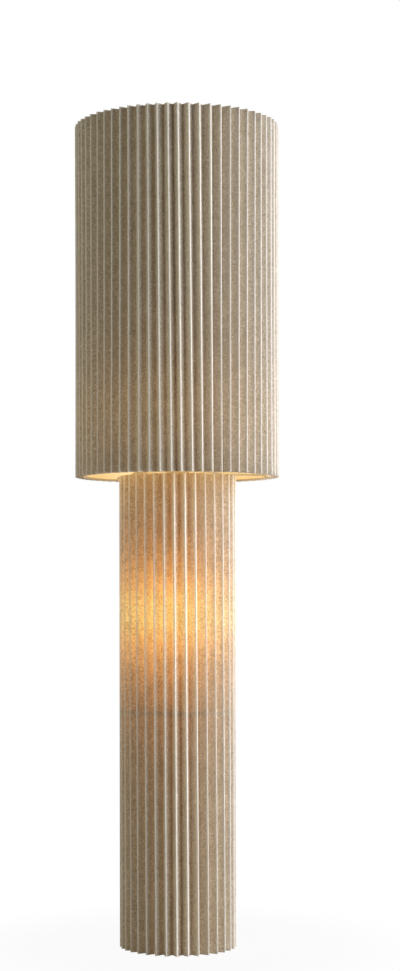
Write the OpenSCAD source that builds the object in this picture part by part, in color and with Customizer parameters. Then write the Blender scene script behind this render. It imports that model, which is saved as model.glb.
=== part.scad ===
// Paper floor lamp: a wide pleated shade on a pleated column, with one bulb in each.
// Units are millimetres, +Z is up, and the origin is the centre of the foot on the floor.
// The front of the lamp looks along -Y.

/* [Column] */
// Outer diameter of the column across its pleat ridges
column_d = 200; // [180:1:260]
// Length of the pleated column
column_h = 803; // [650:1:1000]
// Number of pleats round the column
column_pleat_count = 34; // [25:1:50]
// Depth of the column's pleats from ridge to valley
column_pleat_depth = 14.5; // [8:0.5:18]
// Turn of the column's front ridge away from the front, towards +X
column_turn = -2.4; // [-5:0.1:5]
// Height of the column's lower edge above the floor
column_floor_gap = 2; // [1:0.25:4]

/* [Shade] */
// Outer diameter of the shade across its pleat ridges
shade_d = 350; // [300:1:480]
// Length of the pleated shade
shade_h = 597; // [300:1:800]
// Number of pleats round the shade
shade_pleat_count = 63; // [45:1:84]
// Depth of the shade's pleats from ridge to valley
shade_pleat_depth = 13; // [8:0.5:20]
// Turn of the shade's front ridge away from the front, towards +X
shade_turn = 1.2; // [-3:0.1:3]
// How far the shade's lower edge hangs below the column's upper edge
shade_drop = 2; // [0:0.5:6]

/* [Paper] */
// Thickness of the pleated paper
paper_t = 0.5; // [0.3:0.05:0.8]
// Thickness of the lining sheet inside each pleated cylinder
liner_t = 0.4; // [0.3:0.05:0.8]
// Gap between the pleat valleys and the lining sheet
liner_gap = 0.2; // [0.1:0.05:0.4]

/* [Wire] */
// Wire diameter of the column's two rings
column_wire_d = 2.5; // [2:0.25:4]
// Wire diameter of the shade's two rings
shade_wire_d = 3; // [2:0.25:5]
// Wire diameter of the shade's three-armed spider
spider_wire_d = 3; // [2:0.25:4]
// Bend radius of the hooked arm ends, at the wire's centre
hook_bend_r = 3; // [2.5:0.25:5]
// How far each ring lies inside the paper's edge
ring_inset = 0.5; // [0.2:0.1:3]

/* [Foot] */
// Thickness of the rubber feet
foot_t = 2.5; // [1.5:0.25:4]
// Diameter of the rubber feet
foot_d = 18; // [12:1:24]
// Number of rubber feet
foot_count = 3; // [3:1:4]
// Thickness of the foot plate's outer flange, on which the column stands
flange_t = 3; // [2:0.25:5]
// Thickness of the foot plate's raised middle
plate_rise = 9; // [6:0.5:14]
// Direction in which the cord leaves, from +X towards +Y
cord_angle = 115; // [105:1:125]
// Width of the cord's groove under the plate
cord_groove_w = 8; // [6:0.5:10]
// Height of the cord's groove above the plate's underside
cord_groove_h = 2; // [1:0.25:2.5]
// Diameter of the hole through the cord's gland
gland_bore_d = 6.4; // [5:0.2:8]
// Wall of the gland's sleeve
gland_wall = 1.8; // [1.2:0.1:2.5]

/* [Frame] */
// Diameter of the three upright rods
rod_d = 6; // [5:0.5:8]
// Distance from a rod's centre to the edge of the plates
rod_edge = 9.7; // [8:0.1:14]
// Height of the tray's underside above the floor
tray_z = 402; // [300:1:440]
// Thickness of the tray
tray_t = 1.5; // [1:0.25:3]
// Height of the tray's down-turned lip
tray_lip = 4; // [2:0.5:8]
// Thickness of the star at the top of the rods
star_t = 2; // [1.5:0.25:4]
// Width of the star's spokes
spoke_w = 16; // [13:0.5:22]
// Radius of the star's hub
star_hub_r = 21; // [15:0.5:28]
// How far the star's upper face lies below the column's upper edge
star_drop = 2; // [0.5:0.25:4]
// Width of the rod nuts across their flats
nut_af = 10; // [9:0.5:11]
// Height of the rod nuts
nut_h = 4; // [3:0.25:5]
// Diameter of the round nuts that the shade's spider rests on
seat_nut_d = 13; // [12:0.5:15]
// Height of the round nuts
seat_nut_h = 4.3; // [3.5:0.1:7]
// How far the rods stand out of the round nuts
rod_stub = 3.5; // [2:0.25:6]

/* [Lampholders] */
// Outer diameter of a lampholder
holder_d = 40; // [36:1:44]
// Height of a lampholder
holder_h = 50; // [46:1:56]
// Wall of a lampholder's cap and shell
holder_wall = 2.2; // [1.5:0.1:3]
// Height at which a lampholder's cap meets its shell
holder_split = 14; // [12:0.5:18]
// Height of the lower lampholder above the tray
stem_rise = 77.5; // [40:0.5:120]
// Outer diameter of the threaded tubes
tube_d = 10; // [9:0.5:12]
// Diameter of the threaded tubes' bore
tube_bore_d = 6.4; // [5.6:0.2:7]
// Width of the tube nuts across their flats
tube_nut_af = 14; // [13:0.5:17]

/* [Bulbs] */
// Diameter of a bulb's globe
bulb_d = 60; // [50:1:70]
// Distance from the globe's centre down to its screw cap
bulb_drop = 45; // [42:0.5:60]
// Diameter of the globe's neck
neck_d = 28.6; // [28:0.2:32]
// Wall of the globe
globe_wall = 1.2; // [0.8:0.1:2]
// Outer diameter of the screw cap's thread
cap_d = 26.2; // [25.8:0.1:26.4]
// Length of the screw cap's thread
thread_h = 18; // [14:1:20]
// Pitch of the screw cap's thread
thread_pitch = 3.6; // [3:0.2:4.5]

/* [Wiring] */
// Diameter of the leads to the lampholders
lead_d = 5; // [4:0.25:5.25]
// Bend radius of the leads, at their centre
lead_bend_r = 9; // [8:0.5:14]
// Width of the terminal block
block_w = 26; // [24:1:34]
// Depth of the terminal block
block_l = 22; // [16:1:26]
// Height of the terminal block
block_h = 16; // [12:1:22]
// Diameter of the terminal block's clamping screws
terminal_d = 5; // [4:0.5:6]
// Height of each lead clip
clip_h = 6; // [4:0.5:10]
// Wall of each lead clip round what it holds
clip_wall = 1.3; // [1:0.1:2]

/* [Clearances] */
// Gap at the column's and the spider's seats and round the column's rings
seat_gap = 0.3; // [0.2:0.05:0.5]
// Gap between pieces that are screwed, glued or pushed together
fit_gap = 0.1; // [0.05:0.05:0.2]
// Gap round a bulb's screw cap in its lampholder
cap_gap = 0.35; // [0.3:0.05:0.5]

/* [Hidden] */
$fn = 64;

// Directions of the rods and of the spider's arms, from +X towards +Y
rod_angles = [90, -30, 210];
arm_angles = [13, 133, 253];

// Heights
column_z = column_floor_gap;
column_top = column_z + column_h;
shade_z = column_top - shade_drop;
shade_top = shade_z + shade_h;
flange_z = foot_t;
flange_top = flange_z + flange_t;
plate_top = flange_top + plate_rise;
tray_top = tray_z + tray_t;
star_top = column_top - star_drop;
star_z = star_top - star_t;
lower_holder_z = tray_top + stem_rise;
seat_top = star_top + seat_nut_h;
rod_z = flange_top;
rod_top = seat_top + rod_stub;
spider_z = seat_top + seat_gap + spider_wire_d / 2;

// How thick the folded paper stands, measured along the radius at a ridge and at a valley
function half_pitch(count) = 180 / count;
function fold_angle(r, depth, count) =
    atan2((r - depth) * sin(half_pitch(count)), r - (r - depth) * cos(half_pitch(count)));
function ridge_t(r, depth, count) = paper_t / sin(fold_angle(r, depth, count));
function valley_t(r, depth, count) =
    paper_t / sin(fold_angle(r, depth, count) + half_pitch(count));

// Outer and inner radius of the lining sheets, and centre-line radius of the rings
function liner_r(d, depth, count) =
    d / 2 - depth - valley_t(d / 2, depth, count) - liner_gap;
column_liner_r = liner_r(column_d, column_pleat_depth, column_pleat_count);
shade_liner_r = liner_r(shade_d, shade_pleat_depth, shade_pleat_count);
column_ring_r = column_liner_r - liner_t - fit_gap - column_wire_d / 2;
shade_ring_r = shade_liner_r - liner_t - fit_gap - shade_wire_d / 2;

// The plates fill the column's rings, and the flange reaches under the lower ring
plate_r = column_ring_r - column_wire_d / 2 - seat_gap;
flange_r = column_liner_r - liner_t - seat_gap;
rod_r = plate_r - rod_edge;
hub_ring_r = rod_r + rod_d / 2 + seat_gap + spider_wire_d / 2;

// Lampholder: heights above its lower face
holder_r = holder_d / 2;
cap_floor = 3;
cap_taper = 6;
core_r = holder_r - holder_wall - fit_gap;
core_z = cap_floor + cap_taper;
core_floor = 8;
core_sunk = 6;
core_top = holder_h - core_sunk;
cap_r = cap_d / 2;
insert_in_r = cap_r + cap_gap;
insert_t = 0.55;
insert_r = insert_in_r + insert_t;
core_bore_r = insert_r + fit_gap;
insert_foot = 2;
contact_r = 6;
contact_leaf_t = 1.5;
contact_stem_r = 2.8;
tube_stub = 2;

// Bulb: heights above its lampholder's lower face
bulb_lift = 1;
bulb_foot = holder_h + bulb_lift;
collar_h = 3;
thread_foot = bulb_foot - collar_h - thread_h;
cone_h = 4;
tip_h = 2;
tip_r = 4.8;
cone_r = 7;
tip_foot = thread_foot - cone_h - tip_h;
globe_tangent = 35;
neck_blend_r = 14;

// Leads: each lies in one upright plane through the axis, beside the rear rod
nut_r = nut_af / 2 / cos(30);
lead_side = max(nut_r, seat_nut_d / 2) + lead_d / 2 + seat_gap;
lead_turn = atan2(lead_side, rod_r);
lead_r = round(10 * rod_r / cos(lead_turn)) / 10;
lead_slack = 2;
block_inset = 22;
block_back = rod_r - block_inset;
block_z = plate_top;
lead_out_z = block_z + block_h / 2;
lead_out_r = (block_back + fit_gap + lead_d / 2 * sin(lead_turn)) / cos(lead_turn);
gland_inset = 12;
gland_r = rod_r - gland_inset;
stem_foot = tray_z - nut_h - tube_stub;
nipple_foot = star_z - nut_h - tube_stub;

// ---------- shared shapes ----------

// Points of a closed zigzag with its first ridge turned from the front
function zigzag(count, ridge_r, valley_r, turn) =
    [for (i = [0 : 2 * count - 1])
        let (a = turn - 90 + i * half_pitch(count), r = i % 2 == 0 ? ridge_r : valley_r)
        [r * cos(a), r * sin(a)]];

// Points of an arc in a profile, from angle a0 to angle a1
function arc(x, y, r, a0, a1, steps) =
    [for (i = [0 : steps]) let (a = a0 + (a1 - a0) * i / steps) [x + r * cos(a), y + r * sin(a)]];

function reversed(points) = [for (i = [len(points) - 1 : -1 : 0]) points[i]];

module pleated_tube(d, h, depth, count, turn) {
    r = d / 2;
    linear_extrude(height = h) difference() {
        polygon(zigzag(count, r, r - depth, turn));
        polygon(zigzag(count, r - ridge_t(r, depth, count), r - depth - valley_t(r, depth, count), turn));
    }
}

module tube(outer_r, inner_r, h) {
    difference() {
        cylinder(r = outer_r, h = h);
        translate([0, 0, -1]) cylinder(r = inner_r, h = h + 2);
    }
}

module wire_ring(r, wire_d) {
    rotate_extrude() translate([r, 0]) circle(d = wire_d);
}

module at_rods() {
    for (a = rod_angles) rotate([0, 0, a]) translate([rod_r, 0, 0]) children();
}

module hex_nut(flats, bore_d, h) {
    difference() {
        cylinder(r = flats / 2 / cos(30), h = h, $fn = 6);
        translate([0, 0, -1]) cylinder(d = bore_d + 2 * fit_gap, h = h + 2);
    }
}

module rod(angle) {
    rotate([0, 0, angle]) translate([rod_r, 0, rod_z]) cylinder(d = rod_d, h = rod_top - rod_z);
}

module threaded_tube(z0, z1) {
    translate([0, 0, z0]) tube(tube_d / 2, tube_bore_d / 2, z1 - z0);
}

module tube_nut(z) {
    translate([0, 0, z]) hex_nut(tube_nut_af, tube_d, nut_h);
}

// The notch or groove that lets the cord out under the lamp
module cord_way(from_r, to_r, top) {
    rotate([0, 0, cord_angle]) translate([from_r, -cord_groove_w / 2, -1])
        cube([to_r - from_r, cord_groove_w, top + 1]);
}

// ---------- foot ----------

module base_plate() {
    gland_out_r = gland_bore_d / 2 + gland_wall + fit_gap;
    color("dimgray") difference() {
        union() {
            translate([0, 0, flange_z]) cylinder(r = flange_r, h = flange_t, $fn = 128);
            translate([0, 0, flange_z]) cylinder(r = plate_r, h = flange_t + plate_rise, $fn = 128);
        }
        at_rods() translate([0, 0, rod_z]) cylinder(d = rod_d + 2 * fit_gap, h = plate_rise + 1);
        rotate([0, 0, cord_angle]) translate([gland_r, 0, 0]) cylinder(r = gland_out_r, h = plate_top + 1);
        cord_way(gland_r, flange_r + 1, flange_z + cord_groove_h);
    }
}

module base_feet() {
    color("black") for (i = [0 : foot_count - 1])
        rotate([0, 0, -90 + i * 360 / foot_count]) translate([plate_r - foot_d, 0, 0])
            cylinder(d = foot_d, h = foot_t);
}

module cord_gland() {
    flange = 2;
    sleeve_r = gland_bore_d / 2 + gland_wall;
    sleeve_z = flange_z + cord_groove_h;
    color("black") rotate([0, 0, cord_angle]) translate([gland_r, 0, 0]) difference() {
        union() {
            translate([0, 0, sleeve_z]) cylinder(r = sleeve_r, h = plate_top - sleeve_z + flange);
            translate([0, 0, plate_top]) cylinder(r = sleeve_r + flange, h = flange);
        }
        cylinder(d = gland_bore_d, h = plate_top + flange + 1);
    }
}

// ---------- frame ----------

module rod_back() {
    color("white") rod(rod_angles[0]);
}

module rod_right() {
    color("white") rod(rod_angles[1]);
}

module rod_left() {
    color("white") rod(rod_angles[2]);
}

module rod_base_nuts() {
    color("silver") at_rods() translate([0, 0, plate_top]) hex_nut(nut_af, rod_d, nut_h);
}

module rod_tray_nuts() {
    color("silver") at_rods() {
        translate([0, 0, tray_z - nut_h]) hex_nut(nut_af, rod_d, nut_h);
        translate([0, 0, tray_top]) hex_nut(nut_af, rod_d, nut_h);
    }
}

module rod_star_nuts() {
    color("silver") at_rods() translate([0, 0, star_z - nut_h]) hex_nut(nut_af, rod_d, nut_h);
}

module rod_top_nuts() {
    color("silver") at_rods() translate([0, 0, star_top])
        tube(seat_nut_d / 2, rod_d / 2 + fit_gap, seat_nut_h);
}

module lamp_tray() {
    color("white") difference() {
        union() {
            translate([0, 0, tray_z]) cylinder(r = plate_r, h = tray_t, $fn = 128);
            translate([0, 0, tray_top - tray_lip]) tube(plate_r, plate_r - tray_t, tray_lip, $fn = 128);
        }
        at_rods() translate([0, 0, tray_z - 1]) cylinder(d = rod_d + 2 * fit_gap, h = tray_t + 2);
        translate([0, 0, tray_z - 1]) cylinder(d = tube_d + 2 * fit_gap, h = tray_t + 2);
        rotate([0, 0, rod_angles[0] + lead_turn]) translate([lead_r, 0, tray_z - 1])
            cylinder(d = lead_d + 2 * seat_gap, h = tray_t + 2);
    }
}

module top_star() {
    color("white") translate([0, 0, star_z]) difference() {
        intersection() {
            union() {
                cylinder(r = star_hub_r, h = star_t);
                for (a = rod_angles) rotate([0, 0, a]) translate([0, -spoke_w / 2, 0])
                    cube([plate_r, spoke_w, star_t]);
            }
            cylinder(r = plate_r, h = star_t, $fn = 128);
        }
        translate([0, 0, -1]) cylinder(d = tube_d + 2 * fit_gap, h = star_t + 2);
        at_rods() translate([0, 0, -1]) cylinder(d = rod_d + 2 * fit_gap, h = star_t + 2);
    }
}

module lower_stem() {
    color("silver") threaded_tube(stem_foot, lower_holder_z + cap_floor + tube_stub);
}

module stem_nuts() {
    color("silver") {
        tube_nut(tray_z - nut_h);
        tube_nut(tray_top);
        tube_nut(lower_holder_z - nut_h);
    }
}

module upper_nipple() {
    color("silver") threaded_tube(nipple_foot, star_top + cap_floor + tube_stub);
}

module nipple_nut() {
    color("silver") tube_nut(star_z - nut_h);
}

// ---------- lampholders ----------

module holder_cap() {
    bore_r = tube_d / 2 + fit_gap;
    wall_r = holder_r - holder_wall;
    color("ivory") rotate_extrude() polygon([
        [bore_r, 0], [holder_r - cap_taper, 0], [holder_r, holder_split - cap_taper],
        [holder_r, holder_split], [wall_r, holder_split], [wall_r, core_z - fit_gap],
        [wall_r - cap_taper, cap_floor], [bore_r, cap_floor]]);
}

module holder_shell() {
    lip = 1;
    color("ivory") rotate_extrude() polygon([
        [holder_r - holder_wall, holder_split], [holder_r, holder_split],
        [holder_r, holder_h - lip], [holder_r - lip, holder_h],
        [core_bore_r + lip, holder_h], [core_bore_r + lip, core_top + fit_gap],
        [holder_r - holder_wall, core_top + fit_gap]]);
}

module holder_core() {
    color("gainsboro") difference() {
        translate([0, 0, core_z]) cylinder(r = core_r, h = core_top - core_z);
        translate([0, 0, core_z + core_floor]) cylinder(r = core_bore_r, h = core_top);
        translate([0, 0, core_z - 1]) cylinder(r = contact_stem_r + fit_gap, h = core_floor + 2);
    }
}

module holder_insert() {
    color("goldenrod") translate([0, 0, core_z + core_floor + insert_foot])
        tube(insert_r, insert_in_r, core_top - core_z - core_floor - insert_foot);
}

module holder_contact() {
    color("goldenrod") union() {
        translate([0, 0, core_z]) cylinder(r = contact_stem_r, h = tip_foot - seat_gap - core_z);
        translate([0, 0, core_z + core_floor]) cylinder(r = contact_r, h = contact_leaf_t);
    }
}

module lower_holder_cap() {
    translate([0, 0, lower_holder_z]) holder_cap();
}

module lower_holder_shell() {
    translate([0, 0, lower_holder_z]) holder_shell();
}

module lower_holder_core() {
    translate([0, 0, lower_holder_z]) holder_core();
}

module lower_holder_insert() {
    translate([0, 0, lower_holder_z]) holder_insert();
}

module lower_holder_contact() {
    translate([0, 0, lower_holder_z]) holder_contact();
}

module upper_holder_cap() {
    translate([0, 0, star_top]) holder_cap();
}

module upper_holder_shell() {
    translate([0, 0, star_top]) holder_shell();
}

module upper_holder_core() {
    translate([0, 0, star_top]) holder_core();
}

module upper_holder_insert() {
    translate([0, 0, star_top]) holder_insert();
}

module upper_holder_contact() {
    translate([0, 0, star_top]) holder_contact();
}

// ---------- bulbs ----------

// Profile of the globe, shrunk by inset: a ball, a straight cheek and a blended neck
function globe_side(inset) =
    let (
        r = bulb_d / 2 - inset,
        neck = neck_d / 2 - inset,
        blend = neck_blend_r + inset,
        cheek = (r * cos(globe_tangent) - neck - blend * (1 - cos(globe_tangent))) / sin(globe_tangent),
        blend_z = -r * sin(globe_tangent) - cheek * cos(globe_tangent) - blend * sin(globe_tangent)
    )
    concat(
        arc(0, 0, r, 90, -globe_tangent, 24),
        arc(neck + blend, blend_z, blend, 180 - globe_tangent, 180, 6),
        [[neck, -bulb_drop]]);

module bulb_globe() {
    color("white") translate([0, 0, bulb_foot + bulb_drop]) rotate_extrude()
        polygon(concat(globe_side(0), reversed(globe_side(globe_wall))));
}

module bulb_cap() {
    groove = 0.7;
    turns = floor(thread_h / thread_pitch);
    land = thread_h / turns;
    thread = [for (i = [0 : turns - 1]) for (k = [0 : 3])
        [cap_r - (k < 2 ? 0 : groove), thread_foot + thread_h - land * (i + 0.125 + k * 0.25)]];
    color("silver") rotate_extrude() polygon(concat(
        [[0, bulb_foot], [cap_r, bulb_foot], [cap_r, bulb_foot - collar_h]],
        thread,
        [[cap_r - groove, thread_foot], [0, thread_foot]]));
}

module bulb_tip() {
    color("black") rotate_extrude() polygon([
        [0, thread_foot], [cap_r - 2, thread_foot], [cone_r, thread_foot - cone_h],
        [tip_r, thread_foot - cone_h], [tip_r, tip_foot + 1], [tip_r - 1, tip_foot], [0, tip_foot]]);
}

module lower_bulb_globe() {
    translate([0, 0, lower_holder_z]) bulb_globe();
}

module lower_bulb_cap() {
    translate([0, 0, lower_holder_z]) bulb_cap();
}

module lower_bulb_tip() {
    translate([0, 0, lower_holder_z]) bulb_tip();
}

module upper_bulb_globe() {
    translate([0, 0, star_top]) bulb_globe();
}

module upper_bulb_cap() {
    translate([0, 0, star_top]) bulb_cap();
}

module upper_bulb_tip() {
    translate([0, 0, star_top]) bulb_tip();
}

// ---------- wiring ----------

// A quarter bend of lead in the plane of X and Z, about a centre, from angle a0
module lead_elbow(x, z, a0) {
    translate([x, 0, z]) rotate([90, 0, 0]) rotate([0, 0, a0])
        rotate_extrude(angle = 90) translate([lead_bend_r, 0]) circle(d = lead_d);
}

module lead_along_x(x0, x1, z) {
    translate([x0, 0, z]) rotate([0, 90, 0]) cylinder(d = lead_d, h = x1 - x0);
}

module lead_up(x, z0, z1) {
    translate([x, 0, z0]) cylinder(d = lead_d, h = z1 - z0);
}

// A lead from the terminal block, up beside the rear rod and into a threaded tube
module lead(angle, tube_foot, end_z) {
    b = lead_bend_r;
    level_z = tube_foot - b - lead_slack;
    color("white") rotate([0, 0, angle]) union() {
        lead_along_x(lead_out_r, lead_r - b, lead_out_z);
        lead_elbow(lead_r - b, lead_out_z + b, -90);
        lead_up(lead_r, lead_out_z + b, level_z - b);
        lead_elbow(lead_r - b, level_z - b, 0);
        lead_along_x(b, lead_r - b, level_z);
        lead_elbow(b, level_z + b, 180);
        lead_up(0, level_z + b, end_z);
    }
}

module lower_lead() {
    lead(rod_angles[0] - lead_turn, stem_foot, lower_holder_z + core_z - fit_gap);
}

module upper_lead() {
    lead(rod_angles[0] + lead_turn, nipple_foot, star_top + core_z - fit_gap);
}

module lead_clips() {
    reach = lead_side + lead_d / 2 + clip_wall;
    deep = max(rod_d, lead_d) / 2 + clip_wall;
    heights = [for (k = [1 : 3]) plate_top + (tray_z - plate_top) * k / 4,
               for (k = [1 : 3]) tray_top + (star_z - tray_top) * k / 4];
    color("white") for (z = heights) translate([0, rod_r, z]) difference() {
        translate([-reach, -deep, -clip_h / 2]) cube([2 * reach, 2 * deep, clip_h]);
        translate([0, 0, -clip_h]) cylinder(d = rod_d + 2 * fit_gap, h = 2 * clip_h);
        for (s = [-1, 1]) translate([s * lead_side, 0, -clip_h])
            cylinder(d = lead_d + 2 * fit_gap, h = 2 * clip_h);
    }
}

module at_terminals() {
    for (x = [-1, 1]) for (y = [-1, 1])
        translate([x * block_w / 4, block_back - block_l / 2 + y * block_l / 4, 0]) children();
}

module terminal_block() {
    screw_deep = 6;
    wire_d = 2.4;
    color("ivory") difference() {
        translate([-block_w / 2, block_back - block_l, block_z]) cube([block_w, block_l, block_h]);
        at_terminals() translate([0, 0, block_z + block_h - screw_deep])
            cylinder(d = terminal_d + 2 * fit_gap, h = screw_deep + 1);
        for (x = [-1, 1]) translate([x * block_w / 4, block_back - block_l - 1, block_z + block_h / 4])
            rotate([-90, 0, 0]) cylinder(d = wire_d, h = block_l / 2);
    }
}

module terminal_screws() {
    sunk = 1.5;
    slot_w = 0.8;
    screw_h = 4.4;
    color("silver") at_terminals() translate([0, 0, block_z + block_h - sunk - screw_h]) difference() {
        cylinder(d = terminal_d, h = screw_h);
        translate([-terminal_d, -slot_w / 2, screw_h - 1]) cube([2 * terminal_d, slot_w, 2]);
    }
}

// ---------- column ----------

module column_pleats() {
    color("wheat") difference() {
        translate([0, 0, column_z])
            pleated_tube(column_d, column_h, column_pleat_depth, column_pleat_count, column_turn);
        cord_way(column_liner_r, column_d, flange_z + cord_groove_h);
    }
}

module column_liner() {
    color("lemonchiffon") difference() {
        translate([0, 0, column_z])
            tube(column_liner_r, column_liner_r - liner_t, column_h, $fn = 128);
        cord_way(column_liner_r - liner_t - 1, column_d, flange_z + cord_groove_h);
    }
}

module column_top_ring() {
    color("white") translate([0, 0, column_top - ring_inset - column_wire_d / 2])
        wire_ring(column_ring_r, column_wire_d);
}

module column_bottom_ring() {
    color("white") translate([0, 0, flange_top + seat_gap + column_wire_d / 2])
        wire_ring(column_ring_r, column_wire_d);
}

// ---------- shade ----------

module shade_pleats() {
    color("wheat") translate([0, 0, shade_z])
        pleated_tube(shade_d, shade_h, shade_pleat_depth, shade_pleat_count, shade_turn);
}

module shade_liner() {
    color("lemonchiffon") translate([0, 0, shade_z])
        tube(shade_liner_r, shade_liner_r - liner_t, shade_h, $fn = 128);
}

module shade_top_ring() {
    color("white") translate([0, 0, shade_top - ring_inset - shade_wire_d / 2])
        wire_ring(shade_ring_r, shade_wire_d);
}

module shade_bottom_ring() {
    color("white") translate([0, 0, shade_z + ring_inset + shade_wire_d / 2])
        wire_ring(shade_ring_r, shade_wire_d);
}

module shade_spider() {
    hook_room = shade_wire_d / 2 + fit_gap + spider_wire_d / 2;
    hook_r = round(10 * (shade_ring_r - hook_room)) / 10;
    hook_z = shade_z + ring_inset;
    arm_r = hub_ring_r + spider_wire_d / 6;
    color("white") translate([0, 0, spider_z]) union() {
        rotate([0, 0, arm_angles[0]]) wire_ring(hub_ring_r, spider_wire_d);
        for (a = arm_angles) rotate([0, 0, a]) {
            translate([arm_r, 0, 0]) rotate([0, 90, 0])
                cylinder(d = spider_wire_d, h = hook_r - hook_bend_r - arm_r);
            translate([hook_r - hook_bend_r, 0, -hook_bend_r]) rotate([90, 0, 0])
                rotate_extrude(angle = 90) translate([hook_bend_r, 0]) circle(d = spider_wire_d);
            translate([hook_r, 0, hook_z - spider_z])
                cylinder(d = spider_wire_d, h = spider_z - hook_bend_r - hook_z);
        }
    }
}

base_plate();
base_feet();
cord_gland();
rod_back();
rod_right();
rod_left();
rod_base_nuts();
rod_tray_nuts();
rod_star_nuts();
rod_top_nuts();
lamp_tray();
lower_stem();
stem_nuts();
top_star();
upper_nipple();
nipple_nut();
lower_holder_cap();
lower_holder_shell();
lower_holder_core();
lower_holder_insert();
lower_holder_contact();
upper_holder_cap();
upper_holder_shell();
upper_holder_core();
upper_holder_insert();
upper_holder_contact();
lower_bulb_globe();
lower_bulb_cap();
lower_bulb_tip();
upper_bulb_globe();
upper_bulb_cap();
upper_bulb_tip();
terminal_block();
terminal_screws();
lower_lead();
upper_lead();
lead_clips();
column_pleats();
column_liner();
column_top_ring();
column_bottom_ring();
shade_pleats();
shade_liner();
shade_top_ring();
shade_bottom_ring();
shade_spider();
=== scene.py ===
"""Paper floor lamp: the looks of a wide pleated shade on a narrow pleated column.

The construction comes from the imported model. This script gives every surface its finish,
folds the two pleated cylinders out of thin paper, and sets up a plain studio with a camera.
All lengths are in metres, +Z is up, and the front of the lamp looks along -Y.
"""

from __future__ import annotations

import logging
import math
import random
from dataclasses import dataclass, field
from enum import Enum
from functools import cached_property
from typing import Iterable, NamedTuple, Optional, Sequence, Union

import bpy
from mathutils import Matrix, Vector


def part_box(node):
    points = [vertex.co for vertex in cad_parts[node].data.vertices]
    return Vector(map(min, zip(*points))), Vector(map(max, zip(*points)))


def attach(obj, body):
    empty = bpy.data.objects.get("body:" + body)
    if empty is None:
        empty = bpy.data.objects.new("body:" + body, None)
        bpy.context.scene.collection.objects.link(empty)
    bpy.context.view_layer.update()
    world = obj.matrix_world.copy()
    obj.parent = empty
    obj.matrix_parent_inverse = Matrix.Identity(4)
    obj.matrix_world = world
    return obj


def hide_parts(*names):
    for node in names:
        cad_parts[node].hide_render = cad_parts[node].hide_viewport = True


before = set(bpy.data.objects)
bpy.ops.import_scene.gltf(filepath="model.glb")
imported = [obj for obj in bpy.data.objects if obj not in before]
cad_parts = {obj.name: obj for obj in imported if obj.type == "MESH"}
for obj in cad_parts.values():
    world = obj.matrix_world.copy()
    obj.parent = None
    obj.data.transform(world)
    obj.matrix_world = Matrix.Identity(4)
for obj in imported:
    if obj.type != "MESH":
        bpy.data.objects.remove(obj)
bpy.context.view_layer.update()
log = logging.getLogger("lamp")

Colour = tuple[float, float, float]
Socket = bpy.types.NodeSocket
Input = Union[Socket, float, Sequence[float]]
Range = tuple[float, float]
Steps = tuple[Range, ...]
Stops = tuple[tuple[float, Colour], ...]

# Where nearly all of a noise pattern lies, and where its middle part lies.
NOISE_RANGE: Range = (0.3, 0.7)
CLOUD_RANGE: Range = (0.35, 0.65)
# Sockets of a Mix node for colours: its factor and two colours, and its result.
MIX_INPUTS = (0, 6, 7)
MIX_RESULT = 2


class Body(Enum):
    """The moving bodies of the lamp that pieces made here ride on."""

    COLUMN = "column"
    SHADE = "shade"


class Slot(Enum):
    """A material slot of the model, which no piece made here is given."""

    PAPER = "pleated_paper"


# ---------- measures taken from the frame ----------


class Ring(NamedTuple):
    """Radii and heights of a node that goes round the lamp's axis."""

    inner: float
    outer: float
    low: float
    high: float


def ring_of(node: str) -> Ring:
    """Measures how a node of the frame lies round the axis.

    Args:
        node: Name of the node.

    Returns:
        Its smallest and largest radius and its lowest and highest point.
    """
    points = [v.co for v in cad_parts[node].data.vertices]
    radii = [math.hypot(p.x, p.y) for p in points]
    heights = [p.z for p in points]
    return Ring(min(radii), max(radii), min(heights), max(heights))


def middle_height(node: str) -> float:
    """Gives the height of the middle of a node's box."""
    low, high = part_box(node)
    return (low.z + high.z) / 2


# How far the middle of the light lies above the middle of each globe.
LOWER_RISE = 0.0005
UPPER_RISE = 0.0075
LOWER_BULB_HEIGHT = middle_height("lower_bulb_globe") + LOWER_RISE
UPPER_BULB_HEIGHT = middle_height("upper_bulb_globe") + UPPER_RISE
TRAY_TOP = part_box("lamp_tray")[1].z


# ---------- node trees ----------


def add_node(tree: bpy.types.NodeTree, kind: str, **settings: object) -> bpy.types.Node:
    """Adds a node to a tree.

    Args:
        tree: The node tree.
        kind: The node's type, without the leading ShaderNode.
        **settings: Properties to set on it.

    Returns:
        The new node.
    """
    made = tree.nodes.new("ShaderNode" + kind)
    for key, value in settings.items():
        setattr(made, key, value)
    return made


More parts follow.
